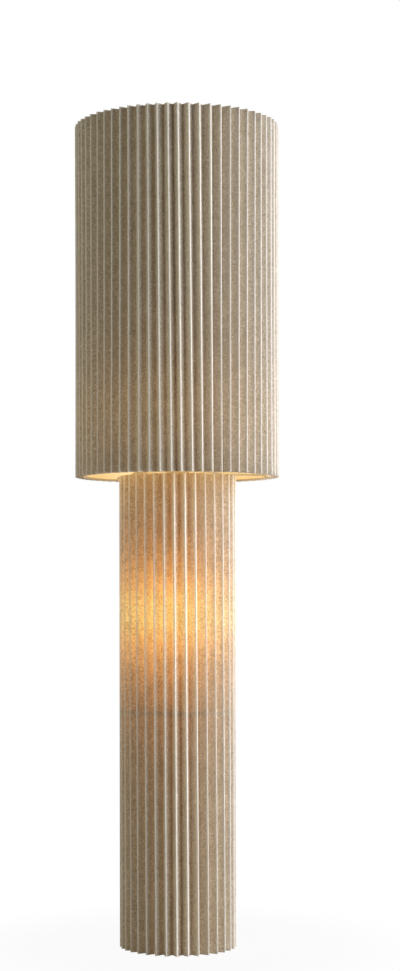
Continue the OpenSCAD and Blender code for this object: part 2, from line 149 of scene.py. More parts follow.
class Recipe:
    """The node tree of one material, built round a single Principled shader."""

    def __init__(self, name: str) -> None:
        """Starts an empty recipe.

        Args:
            name: Name of the material.
        """
        self.material = bpy.data.materials.new(name)
        self.material.use_nodes = True
        self.tree = self.material.node_tree
        self.shader = next(n for n in self.tree.nodes if n.type == "BSDF_PRINCIPLED")

    @cached_property
    def piece(self) -> Socket:
        """Coordinates on the piece itself, in metres."""
        return self.node("TexCoord").outputs["Object"]

    @cached_property
    def room(self) -> bpy.types.NodeOutputs:
        """Coordinates in the room, in metres, each under the name of its axis."""
        split = self.node("SeparateXYZ")
        self.feed(split.inputs[0], self.node("NewGeometry").outputs["Position"])
        return split.outputs

    def node(self, kind: str, **settings: object) -> bpy.types.Node:
        """Adds a node of that type, with properties to set on it."""
        return add_node(self.tree, kind, **settings)

    def feed(self, target: Socket, value: Input) -> None:
        """Links a socket to a target, or sets the target to a plain value.

        Args:
            target: The input socket.
            value: A socket, a number, a colour or a vector.
        """
        if isinstance(value, bpy.types.NodeSocket):
            self.tree.links.new(value, target)
        elif isinstance(value, (int, float)):
            target.default_value = value
        elif len(value) == 3 and len(target.default_value) == 4:
            target.default_value = (*value, 1.0)
        else:
            target.default_value = value

    def surface(self, **values: Input) -> None:
        """Sets the shader's own sockets; underscores in a name stand for spaces."""
        for key, value in values.items():
            self.feed(self.shader.inputs[key.replace("_", " ")], value)

    def stretched(self, scale: Sequence[float]) -> Socket:
        """Multiplies the piece's coordinates.

        Args:
            scale: Factors along X, Y and Z.

        Returns:
            The socket of the new coordinates.
        """
        mapping = self.node("Mapping")
        self.feed(mapping.inputs["Vector"], self.piece)
        mapping.inputs["Scale"].default_value = scale
        return mapping.outputs["Vector"]

    def attribute(self, name: str) -> Socket:
        """Gives a number stored on the mesh."""
        return self.node("Attribute", attribute_name=name).outputs["Fac"]

    def calc(self, how: str, a: Input, b: Input = 0.0, c: Input = 0.0) -> Socket:
        """Adds a sum on numbers.

        Args:
            how: The operation, as the Math node names it.
            a: First number.
            b: Second number, where the operation has one.
            c: Third number, where the operation has one.

        Returns:
            The result's socket.
        """
        made = self.node("Math", operation=how)
        for target, value in zip(made.inputs, (a, b, c)):
            self.feed(target, value)
        return made.outputs[0]

    def between(self, value: Input, low: float, high: float, to_low: float = 0.0,
                to_high: float = 1.0, smooth: bool = True) -> Socket:
        """Maps a stretch of numbers to another one and holds it there.

        Args:
            value: What is mapped.
            low: Start of the stretch.
            high: End of the stretch.
            to_low: Result at the start.
            to_high: Result at the end.
            smooth: Whether the ends are rounded off.

        Returns:
            The result's socket.
        """
        made = self.node("MapRange", interpolation_type="SMOOTHSTEP" if smooth else "LINEAR")
        for target, number in zip(made.inputs, (value, low, high, to_low, to_high)):
            self.feed(target, number)
        return made.outputs["Result"]

    def about(self, pattern: Input, middle: float, spread: float,
              within: Range = NOISE_RANGE) -> Socket:
        """Maps a noise pattern, which lies within that range, to numbers round a middle."""
        return self.between(pattern, *within, middle - spread, middle + spread)

    def noise(self, size: float, detail: float = 3.0, rough: float = 0.55,
              where: Optional[Socket] = None) -> Socket:
        """Adds a cloudy pattern.

        Args:
            size: Width of its largest spots, in metres.
            detail: Number of finer layers.
            rough: How strong the finer layers are.
            where: Coordinates, or the piece's own ones.

        Returns:
            The pattern, about 0.3 to 0.7.
        """
        made = self.node("TexNoise")
        self.feed(made.inputs["Vector"], where or self.piece)
        made.inputs["Scale"].default_value = 1.0 / size
        made.inputs["Detail"].default_value = detail
        made.inputs["Roughness"].default_value = rough
        return made.outputs["Fac"]

    def cells(self, size: float) -> bpy.types.Node:
        """Adds a pattern of cells.

        Args:
            size: Width of a cell, in metres.

        Returns:
            Its node, with the Distance to a cell's middle and the cell's chance Color.
        """
        made = self.node("TexVoronoi")
        self.feed(made.inputs["Vector"], self.piece)
        made.inputs["Scale"].default_value = 1.0 / size
        return made

    def mixed(self, share: Input, first: Input, second: Input, how: str = "MIX") -> Socket:
        """Mixes two colours.

        Args:
            share: How much of the second one.
            first: First colour.
            second: Second colour.
            how: Blend mode.

        Returns:
            The mixed colour's socket.
        """
        made = self.node("Mix", data_type="RGBA", blend_type=how)
        for number, value in zip(MIX_INPUTS, (share, first, second)):
            self.feed(made.inputs[number], value)
        return made.outputs[MIX_RESULT]

    def times(self, first: Input, second: Input) -> Socket:
        """Multiplies two colours."""
        return self.mixed(1.0, first, second, how="MULTIPLY")

    def ramp(self, value: Input, stops: Union[Steps, Stops]) -> Socket:
        """Turns a number into a colour or another number.

        Args:
            value: The number.
            stops: Places from 0 to 1 with their colours or numbers.

        Returns:
            The result's socket.
        """
        made = self.node("ValToRGB")
        points = made.color_ramp.elements
        while len(points) < len(stops):
            points.new(0.5)
        for point, (at, result) in zip(points, stops):
            point.position = at
            point.color = (*((result,) * 3 if isinstance(result, float) else result), 1.0)
        self.feed(made.inputs[0], value)
        return made.outputs["Color"]

    def tinted(self, value: Input, amounts: Colour) -> Socket:
        """Turns a number about 0 into a factor about 1.

        Args:
            value: The number.
            amounts: How much it counts in red, green and blue.

        Returns:
            The factor's socket, with three channels.
        """
        made = self.node("VectorMath", operation="MULTIPLY_ADD")
        for target, part in zip(made.inputs, (value, amounts, (1.0, 1.0, 1.0))):
            self.feed(target, part)
        return made.outputs[0]

    def relief(self, height: Input, depth: float, strength: float) -> None:
        """Gives the surface a fine relief.

        Args:
            height: The pattern of its heights.
            depth: Its depth, in metres.
            strength: How much of it shows, from 0 to 1.
        """
        made = self.node("Bump")
        made.inputs["Strength"].default_value = strength
        made.inputs["Distance"].default_value = depth
        self.feed(made.inputs["Height"], height)
        self.feed(self.shader.inputs["Normal"], made.outputs["Normal"])


# ---------- finishes ----------


@dataclass(frozen=True)
class Glow:
    """Lamp light that comes through a paper or lining sheet from one bulb inside.

    Attributes:
        height: Height of the bulb's middle.
        reach: Distance from the bulb's middle to the sheet.
        stops: Colour of the light against its strength, which is 1 beside the bulb.
        lean: How much weaker the painted light gets per metre towards +X.
        falloff: How steeply it falls with the square of the distance.
        plate: Height of a plate whose edge keeps the light from the sheet.
    """

    height: float
    reach: float
    stops: Stops
    lean: float = 0.0
    falloff: float = 1.5
    plate: Optional[float] = None

    def colour(self, recipe: Recipe) -> Socket:
        """Builds the colour of the light at each place.

        Args:
            recipe: The material's recipe.

        Returns:
            The colour's socket.
        """
        away = recipe.calc("SUBTRACT", recipe.room["Z"], self.height)
        ratio = recipe.calc("DIVIDE", away, self.reach)
        spread = recipe.calc("ADD", recipe.calc("MULTIPLY", ratio, ratio), 1.0)
        colour = recipe.ramp(recipe.calc("POWER", spread, -self.falloff), self.stops)
        # The light is painted weaker towards +X.
        share = recipe.calc("MULTIPLY_ADD", recipe.room["X"], -self.lean, 1.0)
        return recipe.times(colour, share)


@dataclass(frozen=True)
class PaperGrain:
    """The grain of the paper's pulp, a number about 0.

    Attributes:
        crumb: Width of the finest crumbs.
        crumb_range: The darkest and the palest crumb.
        fibre: Width of the fibres, and how much they count.
        cloud: The same for the clouds.
        tone_share: How much the tone of each face between two folds counts.
        speck_gap: Distance between the dark specks.
        speck_edge: Where a speck is full and where it ends, in gaps from its middle.
        patch: Width of the patches that hold specks.
        patch_edge: Where in the pattern a patch begins and where it is full.
        darkest: The lowest number, in the darkest specks.
    """

    crumb: float = 0.0013
    crumb_range: Range = (-0.9, 0.67)
    fibre: Range = (0.0028, 0.12)
    cloud: Range = (0.03, 0.07)
    tone_share: float = 0.07
    speck_gap: float = 0.008
    speck_edge: Range = (0.08, 0.16)
    patch: float = 0.02
    patch_edge: Range = (0.45, 0.6)
    darkest: float = -0.9

    def build(self, recipe: Recipe) -> Socket:
        """Adds the grain to a material.

        Args:
            recipe: The material's recipe.

        Returns:
            The number's socket.
        """
        crumbs = recipe.cells(self.crumb).outputs["Color"]
        grain = recipe.between(crumbs, 0.0, 1.0, *self.crumb_range, smooth=False)
        width, share = self.fibre
        fibre = recipe.noise(width, detail=2.0, where=recipe.stretched((1.0, 1.0, 0.5)))
        grain = recipe.calc("MULTIPLY_ADD", recipe.about(fibre, 0.0, 1.0), share, grain)
        width, share = self.cloud
        cloud = recipe.about(recipe.noise(width, rough=0.6), 0.0, share, CLOUD_RANGE)
        grain = recipe.calc("ADD", grain, cloud)
        grain = recipe.calc("MULTIPLY_ADD", recipe.attribute("tone"), self.tone_share, grain)
        rare = recipe.between(recipe.noise(self.patch, detail=1.0), *self.patch_edge)
        full, end = self.speck_edge
        speck = recipe.between(recipe.cells(self.speck_gap).outputs["Distance"], end, full)
        grain = recipe.calc("SUBTRACT", grain, recipe.calc("MULTIPLY", speck, rare))
        return recipe.calc("MAXIMUM", grain, self.darkest)


@dataclass(frozen=True)
class Finish:
    """A finish, from which a material is made.

    Attributes:
        name: Name of the material.
        colour: Its plain colour.
    """

    name: str
    colour: Colour

    def fill(self, recipe: Recipe) -> None:
        """Adds the finish to a material that is being made."""
        raise NotImplementedError

    def make(self) -> bpy.types.Material:
        """Makes the material.

        Returns:
            The new material.
        """
        recipe = Recipe(self.name)
        self.fill(recipe)
        return recipe.material


@dataclass(frozen=True)
class PaperFinish(Finish):
    """Matt paper with a fine grain, pale ridges with a painted highlight, and the bulb's light in
    it.

    Attributes:
        glow: The bulb that shines through it.
        ridge_colour_and_highlight: Its colour on a ridge: the paler folded fibres and a painted
            highlight.
        shadow_edge: How far from a plate's edge its shadow is full and where it ends.
        valley: Brightness of the valleys beside that of the faces; the paler valleys are painted
            light that comes through the thin sheet.
        bands: Where a valley ends, its face begins and ends, and the ridge begins.
        grain: How much the grain changes the paper's colour; pale crumbs are whiter.
        light_grain: How much it changes the bulb's light.
        grain_steps: Share of the grain that shows, from the valleys at 0 to the ridges at 1.
        light_steps: Share of the bulb's light that comes out, in the same way.
        plate_light: Share that comes out beside the plate's edge.
        mottle: Width of the uneven spots in the light, and how much they change it.
        tooth: Width and depth of the bumps on the surface.
    """

    glow: Glow
    # A painted highlight on the ridges, over the paler folded fibres.
    ridge_colour_and_highlight: Colour = (0.88, 0.835, 0.755)
    shadow_edge: Range = (0.001, 0.005)
    # Paler valleys: painted light that comes through the thin sheet.
    valley: float = 1.12
    bands: tuple[float, float, float, float] = (0.15, 0.5, 0.86, 0.97)
    grain: Colour = (0.45, 0.51, 0.62)
    light_grain: Colour = (0.9, 0.85, 1.1)
    grain_steps: Steps = ((0.0, 1.0), (0.84, 1.0), (0.97, 0.25))
    light_steps: Steps = ((0.0, 1.0), (0.3, 0.97), (0.75, 1.06), (1.0, 0.42))
    plate_light: float = 0.1
    mottle: Range = (0.014, 0.08)
    tooth: Range = (0.0012, 0.00008)

    def lamp_light(self, recipe: Recipe, grain: Socket) -> Socket:
        """Builds the colour of the lamp light that comes through the paper.

        Args:
            recipe: The material's recipe.
            grain: The paper's grain.

        Returns:
            The colour's socket.
        """
        share = recipe.ramp(recipe.attribute("fold"), self.light_steps)
        if self.glow.plate is not None:
            away = recipe.calc("SUBTRACT", recipe.room["Z"], self.glow.plate)
            away = recipe.calc("ABSOLUTE", away)
            shadow = recipe.between(away, *self.shadow_edge, self.plate_light, 1.0)
            share = recipe.calc("MULTIPLY", share, shadow)
        width, change = self.mottle
        mottle = recipe.about(recipe.noise(width), 1.0, change, CLOUD_RANGE)
        share = recipe.calc("MULTIPLY", share, mottle)
        light = recipe.times(self.glow.colour(recipe), share)
        return recipe.times(light, recipe.tinted(grain, self.light_grain))

    def fill(self, recipe: Recipe) -> None:
        """Adds the finish.

        Args:
            recipe: The material's recipe.
        """
        grain = PaperGrain().build(recipe)
        # The paler valleys are painted light that comes through the thin sheet from the lit faces.
        valley = tuple(self.valley * part for part in self.colour)
        valley_end, face_start, face_end, ridge_start = self.bands
        fold = recipe.attribute("fold")
        # On the ridges the colour holds a painted highlight.
        colour = recipe.ramp(fold, ((0.0, valley), (valley_end, valley),
                                    (face_start, self.colour), (face_end, self.colour),
                                    (ridge_start, self.ridge_colour_and_highlight)))
        calm = recipe.ramp(fold, self.grain_steps)
        tone = recipe.tinted(recipe.calc("MULTIPLY", grain, calm), self.grain)
        recipe.surface(Base_Color=recipe.times(colour, tone), Roughness=0.9,
                       Specular_IOR_Level=0.25,
                       Emission_Color=self.lamp_light(recipe, grain), Emission_Strength=1.0)
        width, depth = self.tooth
        recipe.relief(recipe.noise(width, detail=0.0), depth, strength=0.5)


@dataclass(frozen=True)
class LiningFinish(Finish):
    """Smooth cream sheet with the bulb's light on it and through it.

    Attributes:
        glow: The bulb that lights it.
        cloud: Width of its faint clouds.
        cloud_range: Brightness of the darkest and the palest cloud.
        tooth: Width and depth of the bumps on the surface.
    """

    glow: Glow
    cloud: float = 0.02
    cloud_range: Range = (0.96, 1.03)
    tooth: Range = (0.0015, 0.00005)

    def fill(self, recipe: Recipe) -> None:
        """Adds the finish.

        Args:
            recipe: The material's recipe.
        """
        cloud = recipe.noise(self.cloud, detail=4.0)
        cloud = recipe.between(cloud, *NOISE_RANGE, *self.cloud_range)
        recipe.surface(Base_Color=recipe.times(self.colour, cloud), Roughness=0.75,
                       Specular_IOR_Level=0.3, Emission_Strength=1.0,
                       Emission_Color=recipe.times(self.glow.colour(recipe), cloud))
        width, depth = self.tooth
        recipe.relief(recipe.noise(width), depth, strength=0.4)


@dataclass(frozen=True)
class CoatFinish(Finish):
    """Powder coat, moulded plastic, rubber or ceramic: one colour with a fine skin.

    Attributes:
        roughness: Middle of the roughness.
        skin: Size of the skin's bumps.
        depth: Depth of the bumps.
        shade: How much the colour changes from place to place.
        cloud: Width of the places where it changes.
        uneven: How much the roughness changes there.
    """

    roughness: float
    skin: float = 0.0012
    depth: float = 0.00003
    shade: float = 0.05
    cloud: float = 0.012
    uneven: float = 0.06

    def fill(self, recipe: Recipe) -> None:
        """Adds the finish.

        Args:
            recipe: The material's recipe.
        """
        cloud = recipe.noise(self.cloud, detail=4.0, rough=0.6)
        tone = recipe.about(cloud, 1.0, self.shade)
        recipe.surface(Base_Color=recipe.times(self.colour, tone),
                       Roughness=recipe.about(cloud, self.roughness, self.uneven))
        recipe.relief(recipe.noise(self.skin, detail=2.0), self.depth, strength=0.6)


@dataclass(frozen=True)
class MetalFinish(Finish):
    """Bare or plated metal with fine turning marks and faint stains.

    Attributes:
        stain: Colour of the stains.
        roughness: Middle of the roughness.
        marks: Distance between the turning marks.
        cloud: Width of the stains.
        stain_edge: Where in the pattern a stain begins and where it is full.
        stain_share: How much of the stain's colour shows there.
        uneven: How much the roughness changes from mark to mark.
        depth: Depth of the marks.
    """

    stain: Colour
    roughness: float
    marks: float = 0.0006
    cloud: float = 0.006
    stain_edge: Range = (0.45, 0.7)
    stain_share: float = 0.6
    uneven: float = 0.08
    depth: float = 0.00002

    def fill(self, recipe: Recipe) -> None:
        """Adds the finish.

        Args:
            recipe: The material's recipe.
        """
        lines = recipe.noise(self.marks, detail=2.0, where=recipe.stretched((0.15, 0.15, 1.0)))
        cloud = recipe.noise(self.cloud, detail=4.0, rough=0.65)
        share = recipe.between(cloud, *self.stain_edge, 0.0, self.stain_share)
        recipe.surface(Base_Color=recipe.mixed(share, self.colour, self.stain), Metallic=1.0,
                       Roughness=recipe.about(lines, self.roughness, self.uneven))
        recipe.relief(lines, self.depth, strength=0.5)


@dataclass(frozen=True)
class LitGlassFinish(Finish):
    """Frosted white glass with the lit bulb's light in it.

    Attributes:
        light: Colour of the light.
        strength: Strength of the light.
        frost: Width of the frost's bumps.
        depth: Their depth.
        roughness: The smoothest and the roughest place.
        cloud: Width of the clouds in the light, and how much they change it.
    """

    light: Colour
    strength: float
    frost: float = 0.0009
    depth: float = 0.00002
    roughness: Range = (0.28, 0.4)
    cloud: Range = (0.02, 0.05)

    def fill(self, recipe: Recipe) -> None:
        """Adds the finish.

        Args:
            recipe: The material's recipe.
        """
        frost = recipe.noise(self.frost, detail=2.0)
        width, change = self.cloud
        cloud = recipe.about(recipe.noise(width, detail=2.0), 1.0, change)
        recipe.surface(Base_Color=self.colour,
                       Roughness=recipe.between(frost, *NOISE_RANGE, *self.roughness),
                       Emission_Color=recipe.times(self.light, cloud),
                       Emission_Strength=self.strength)
        recipe.relief(frost, self.depth, strength=0.3)


# ---------- pieces ----------


def dress(nodes: Iterable[str], material: bpy.types.Material) -> None:
    """Gives nodes of the frame their finish.

    Args:
        nodes: Names of the nodes.
        material: The finish's material.
    """
    for node in nodes:
        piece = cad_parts[node]
        piece.data.materials.clear()
        piece.data.materials.append(material)
        log.info("dressed %s with %s", node, material.name)


def new_piece(name: str, mesh: bpy.types.Mesh, body: Body,
              material: bpy.types.Material, nodes: Sequence[str]) -> None:
    """Adds a modelled piece in the place of nodes of the frame.

    Args:
        name: Name of the piece.
        mesh: Its mesh, in the lamp's own coordinates.
        body: The body that it moves with.
        material: Its material.
        nodes: The nodes that it stands for.
    """
    piece = bpy.data.objects.new(name, mesh)
    bpy.context.scene.collection.objects.link(piece)
    mesh.materials.append(material)
    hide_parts(*nodes)
    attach(piece, body.value)
    log.info("made %s: %d faces", name, len(mesh.polygons))


class FoldPoint(NamedTuple):
    """One point of the folded paper's middle line."""

    x: float
    y: float
    out_x: float
    out_y: float
    fold: float


class Edge(NamedTuple):
    """How the pleats lie along one edge of the tube, in slow waves where they crowd and spread.

    Attributes:
        turn: Turn of the front ridge, in degrees towards +X.
        waves: Number of waves once round.
        size: Largest shift by a wave, in degrees.
        peak: Angle of a largest shift, in degrees from the front.
    """

    turn: float
    waves: int
    size: float
    peak: float

    def shift(self, angle: float) -> float:
        """Gives the turn of a fold in degrees, from its angle in degrees from the front."""
        return self.turn + self.size * math.cos(self.waves * math.radians(angle - self.peak))


@dataclass
class PleatedTube:
    """A cylinder of knife-edged pleats, folded from one thin sheet.

    Attributes:
        node: The node of the frame whose place it takes.
        count: Number of pleats.
        low: How the pleats lie along the lower edge.
        high: How they lie along the upper edge.
        seed: Start of its chance numbers.
        rows: Number of rows of faces from edge to edge.
        waist: How much narrower the radius is at half height.
        sheet: Thickness of the paper.
        bend: Inner radius of a fold.
        bend_steps: Number of steps round a fold.
        stations: Places of the points between two folds.
        stray_angle: How far a fold line strays along the circle, in degrees.
        stray_radius: How far it strays along the radius.
        stray_edge: How far the upper edge strays up or down.
        lean_share: How much it strays more at one edge, as a share of stray_angle.
        wave: Size of its wave, as a share of stray_angle, and the wave's turn in radians.
        bow: How far a face between two folds bends out or in.
        bow_wave: Size of the bow's wave, as a share of it, and the wave's turn in radians.
        sharp_angle: Least angle of an edge that is drawn sharp, in degrees.
        notch_angle: Direction of a notch in the lower edge, from +X towards +Y, in degrees.
        notch: Width of the notch and height of its upper edge.
    """

    node: str
    count: int
    low: Edge
    high: Edge
    seed: int
    rows: int
    waist: float = 0.0
    sheet: float = 0.0005
    bend: float = 0.00055
    bend_steps: int = 4
    stations: tuple[float, ...] = (0.05, 0.35, 0.65, 0.95)
    stray_angle: float = 0.13
    stray_radius: float = 0.0004
    stray_edge: float = 0.0003
    lean_share: float = 0.5
    wave: Range = (0.15, 5.0)
    bow: float = 0.0002
    bow_wave: Range = (0.4, 3.0)
    sharp_angle: float = 50.0
    notch_angle: Optional[float] = None
    notch: Range = (0.008, 0.0045)

    def __post_init__(self) -> None:
        """Takes the radii and heights from the frame and draws the chance numbers."""
        self.ring = ring_of(self.node)
        chance = random.Random(self.seed)
        folds = range(2 * self.count)
        lean, edge = self.lean_share * self.stray_angle, self.stray_edge
        self.angle_stray = [chance.gauss(0.0, self.stray_angle) for _ in folds]
        self.angle_lean = [chance.gauss(0.0, lean) for _ in folds]
        self.radius_stray = [chance.uniform(-1.0, 0.0) * self.stray_radius for _ in folds]
        self.wave_phase = [chance.uniform(0.0, math.tau) for _ in folds]
        self.face_bow = [chance.gauss(0.0, self.bow) for _ in folds]
        self.face_tone = [chance.uniform(-1.0, 1.0) for _ in folds]
        self.edge_stray = [chance.uniform(-edge, edge) for _ in folds]

    def corner(self, index: int, share: float) -> tuple[float, float]:
        """Gives a fold line's place at one height.

        Args:
            index: Number of the fold; even ones are ridges, odd ones valleys.
            share: Height from 0 at the lower edge to 1 at the upper edge.

        Returns:
            X and Y of the sharp corner of the paper's middle line.
        """
        index %= 2 * self.count
        even = index * 180.0 / self.count
        low, high = self.low.shift(even), self.high.shift(even)
        stray = self.angle_stray[index] + self.angle_lean[index] * (share - 0.5)
        size, turn = self.wave
        stray += size * self.stray_angle * math.sin(turn * share + self.wave_phase[index])
        angle = math.radians(even - 90.0 + low + (high - low) * share + stray)
        half_pitch = math.pi / self.count
        ridge, valley = self.ring.outer, self.ring.inner
        slope = math.atan2(valley * math.sin(half_pitch), ridge - valley * math.cos(half_pitch))
        sharp = (self.bend + self.sheet) * (1.0 / math.sin(slope) - 1.0) + self.sheet / 2
        radius = ridge + sharp - self.sheet if index % 2 == 0 else valley - sharp + self.sheet
        radius += self.radius_stray[index] if index % 2 == 0 else -self.radius_stray[index]
        radius -= self.waist * math.sin(math.pi * share)
        return radius * math.cos(angle), radius * math.sin(angle)

    def fold_arc(self, index: int, share: float) -> list[FoldPoint]:
        """Rounds one fold.

        Args:
            index: Number of the fold.
            share: Height from 0 to 1.

        Returns:
            The points round the bend, in the order of the angle.
        """
        here = Vector(self.corner(index, share))
        back = (Vector(self.corner(index - 1, share)) - here).normalized()
        onward = (Vector(self.corner(index + 1, share)) - here).normalized()
        half = back.angle(onward) / 2
        radius = self.bend + self.sheet / 2
        towards = (back + onward).normalized()
        centre = here + towards * (radius / math.sin(half))
        side = 1.0 if index % 2 == 0 else -1.0
        sweep = math.pi - 2 * half
        start = math.atan2(-towards.y, -towards.x) - side * sweep / 2
        points = []
        fold = 1.0 if index % 2 == 0 else 0.0
        for step in range(self.bend_steps + 1):
            angle = start + side * sweep * step / self.bend_steps
            out = Vector((math.cos(angle), math.sin(angle)))
            at = centre + radius * out
            points.append(FoldPoint(at.x, at.y, side * out.x, side * out.y, fold))
        return points

    def outline(self, share: float) -> list[FoldPoint]:
        """Gives the folded paper's middle line at one height.

        Args:
            share: Height from 0 to 1.

        Returns:
            Its points, once round the lamp.
        """
        size, turn = self.bow_wave
        arcs = [self.fold_arc(i, share) for i in range(2 * self.count)]
        line: list[FoldPoint] = []
        for index, arc in enumerate(arcs):
            line.extend(arc)
            first, last = arc[-1], arcs[(index + 1) % len(arcs)][0]
            wave = math.sin(turn * share + self.wave_phase[index])
            bow = self.face_bow[index] * (1.0 - size + size * wave)
            for at in self.stations:
                lift = bow * 4.0 * at * (1.0 - at)
                x = first.x + (last.x - first.x) * at + first.out_x * lift
                y = first.y + (last.y - first.y) * at + first.out_y * lift
                fold = first.fold + (last.fold - first.fold) * at
                line.append(FoldPoint(x, y, first.out_x, first.out_y, fold))
        return line

    def bottom_height(self, point: FoldPoint) -> float:
        """Gives the lower edge's height, which is higher in the notch.

        Args:
            point: A point of the paper's middle line.

        Returns:
            The height there.
        """
        if self.notch_angle is None:
            return self.ring.low
        angle = math.radians(self.notch_angle)
        along = point.x * math.cos(angle) + point.y * math.sin(angle)
        across = point.y * math.cos(angle) - point.x * math.sin(angle)
        width, top = self.notch
        return top if along > 0.0 and abs(across) < width / 2 else self.ring.low

    def build(self) -> bpy.types.Mesh:
        """Folds the paper.

        Returns:
            A closed mesh with the numbers fold (0 in a valley, 1 on a ridge) and tone on it.
        """
        vertices: list[tuple[float, float, float]] = []
        folds: list[float] = []
        height = self.ring.high - self.ring.low
        per_row = 0
        for row in range(self.rows + 1):
            share = row / self.rows
            line = self.outline(share)
            per_row = len(line)
            for side in (0.5, -0.5):
                for number, point in enumerate(line):
                    z = self.ring.low + height * share
                    if row == 0:
                        z = self.bottom_height(point)
                    if row == self.rows:
                        z += self.edge_stray[number * 2 * self.count // per_row]
                    offset = side * self.sheet
                    vertices.append((point.x + offset * point.out_x,
                                     point.y + offset * point.out_y, z))
                    folds.append(point.fold)
        faces: list[tuple[int, int, int, int]] = []
        tones: list[float] = []
        for number in range(per_row):
            onward = (number + 1) % per_row
            tone = self.face_tone[number * 2 * self.count // per_row]
            for row in range(self.rows):
                low, high = 2 * row * per_row, 2 * (row + 1) * per_row
                faces.append((low + number, low + onward, high + onward, high + number))
                low, high = low + per_row, high + per_row
                faces.append((low + onward, low + number, high + number, high + onward))
                tones += [tone, tone]
            top = 2 * self.rows * per_row
            faces.append((number + per_row, onward + per_row, onward, number))
            faces.append((top + number, top + onward,
                          top + per_row + onward, top + per_row + number))
            tones += [tone, tone]
        mesh = bpy.data.meshes.new(self.node + ".folded")
        mesh.from_pydata(vertices, [], faces)
        mesh.attributes.new("fold", "FLOAT", "POINT").data.foreach_set("value", folds)
        mesh.attributes.new("tone", "FLOAT", "FACE").data.foreach_set("value", tones)
        mesh.shade_smooth()
        mesh.set_sharp_from_angle(angle=math.radians(self.sharp_angle))
        mesh.update()
        return mesh


LINING_DARK: Colour = (0.02, 0.012, 0.004)
WIRE_COAT = CoatFinish("wire_coat", (0.70, 0.62, 0.48), 0.4)


@dataclass
class PaperCylinder:
    """A pleated paper cylinder with its lining and its wires.

    Attributes:
        body: The body that it moves with; names of nodes and materials begin with its name.
        pleats: How its paper is folded.
        paper: Colour of the paper.
        paper_glow: The bulb's light in the paper.
        lining: Colour of the lining.
        lining_glow: The bulb's light in the lining.
        wires: The nodes of its wires.
    """

    body: Body
    pleats: PleatedTube
    paper: Colour
    paper_glow: Glow
    lining: Colour
    lining_glow: Glow
    wires: tuple[str, ...]

    def build(self, wire: bpy.types.Material) -> None:
        """Makes the pleats and dresses the rest.

        Args:
            wire: The wires' material.
        """
        name = self.body.value
        paper = PaperFinish(f"{name}_paper", self.paper, self.paper_glow)
        lining = LiningFinish(f"{name}_lining", self.lining, self.lining_glow)
        new_piece(f"{name}_paper", self.pleats.build(), self.body,
                  paper.make(), [f"{name}_pleats"])
        dress([f"{name}_liner"], lining.make())
        dress(self.wires, wire)


@dataclass
class Column(PaperCylinder):
    """The narrow column, lit by the lower bulb above the dark edge of its tray."""

    body: Body = Body.COLUMN
    pleats: PleatedTube = field(default_factory=lambda: PleatedTube(
        "column_pleats", count=34, low=Edge(-1.1, 3, -0.35, 0.0), high=Edge(-3.6, 3, 0.7, -33.0),
        seed=11, rows=36, notch_angle=115.0))
    # The same paper as the shade's, painted paler and warmer for the light in and on the column.
    paper: Colour = (0.705, 0.612, 0.48)
    paper_glow: Glow = Glow(LOWER_BULB_HEIGHT, reach=0.117, lean=1.8, plate=TRAY_TOP, stops=(
        (0.0, (0.005, 0.001, 0.0)), (0.2, (0.095, 0.027, 0.002)),
        (0.5, (0.25, 0.096, 0.018)), (0.8, (0.44, 0.194, 0.04)), (1.0, (0.49, 0.28, 0.066))))
    lining: Colour = (0.86, 0.77, 0.6)
    lining_glow: Glow = Glow(LOWER_BULB_HEIGHT, reach=0.1, stops=(
        (0.0, LINING_DARK), (1.0, (0.7, 0.42, 0.14))))
    wires: tuple[str, ...] = ("column_top_ring", "column_bottom_ring")


@dataclass
class Shade(PaperCylinder):
    """The wide shade, lit by the upper bulb, with the spider that carries it."""

    body: Body = Body.SHADE
    pleats: PleatedTube = field(default_factory=lambda: PleatedTube(
        "shade_pleats", count=63, low=Edge(1.55, 5, 0.5, 0.0), high=Edge(0.95, 4, -0.75, 0.0),
        seed=5, rows=26, waist=0.0005))
    paper: Colour = (0.665, 0.591, 0.489)
    paper_glow: Glow = Glow(UPPER_BULB_HEIGHT, reach=0.12, stops=(
        (0.0, (0.0, 0.0, 0.0)), (0.5, (0.026, 0.011, 0.003)), (1.0, (0.06, 0.032, 0.011))))
    lining: Colour = (0.84, 0.77, 0.615)
    lining_glow: Glow = Glow(UPPER_BULB_HEIGHT, reach=0.16, stops=(
        (0.0, LINING_DARK), (1.0, (0.53, 0.39, 0.19))))
    wires: tuple[str, ...] = ("shade_top_ring", "shade_bottom_ring", "shade_spider")


Finishes = tuple[tuple[Finish, tuple[str, ...]], ...]


def both(*parts: str) -> tuple[str, ...]:
    """Gives the names of parts of the lower and of the upper light."""
    return tuple(f"{place}_{part}" for place in ("lower", "upper") for part in parts)


@dataclass(frozen=True)
class FramePart:
    """A sub-assembly that comes from the frame and only takes its finishes.

    Attributes:
        finishes: Each finish with the nodes that it goes on.
    """

    finishes: Finishes

    def build(self) -> None:
        """Dresses the pieces."""
        for finish, nodes in self.finishes:
            dress(nodes, finish.make())


@dataclass(frozen=True)
class Foot(FramePart):
    """The weighted plate with its rubber feet and the cord's gland."""

    finishes: Finishes = (
        (CoatFinish("plate_coat", (0.025, 0.025, 0.026), 0.55, depth=0.00006), ("base_plate",)),
        (CoatFinish("foot_rubber", (0.02, 0.02, 0.02), 0.8, skin=0.0006),
         ("base_feet", "cord_gland")))


@dataclass(frozen=True)
class RodFrame(FramePart):
    """The three rods with the tray, the star, the tubes and all their nuts."""

    finishes: Finishes = (
        (CoatFinish("frame_coat", (0.58, 0.57, 0.53), 0.42, depth=0.00005),
         ("rod_back", "rod_right", "rod_left", "lamp_tray", "top_star")),
        (MetalFinish("zinc_plate", (0.62, 0.64, 0.66), (0.45, 0.46, 0.46), 0.34),
         ("rod_base_nuts", "rod_tray_nuts", "rod_star_nuts", "rod_top_nuts", "lower_stem",
          "stem_nuts", "upper_nipple", "nipple_nut", "terminal_screws")))


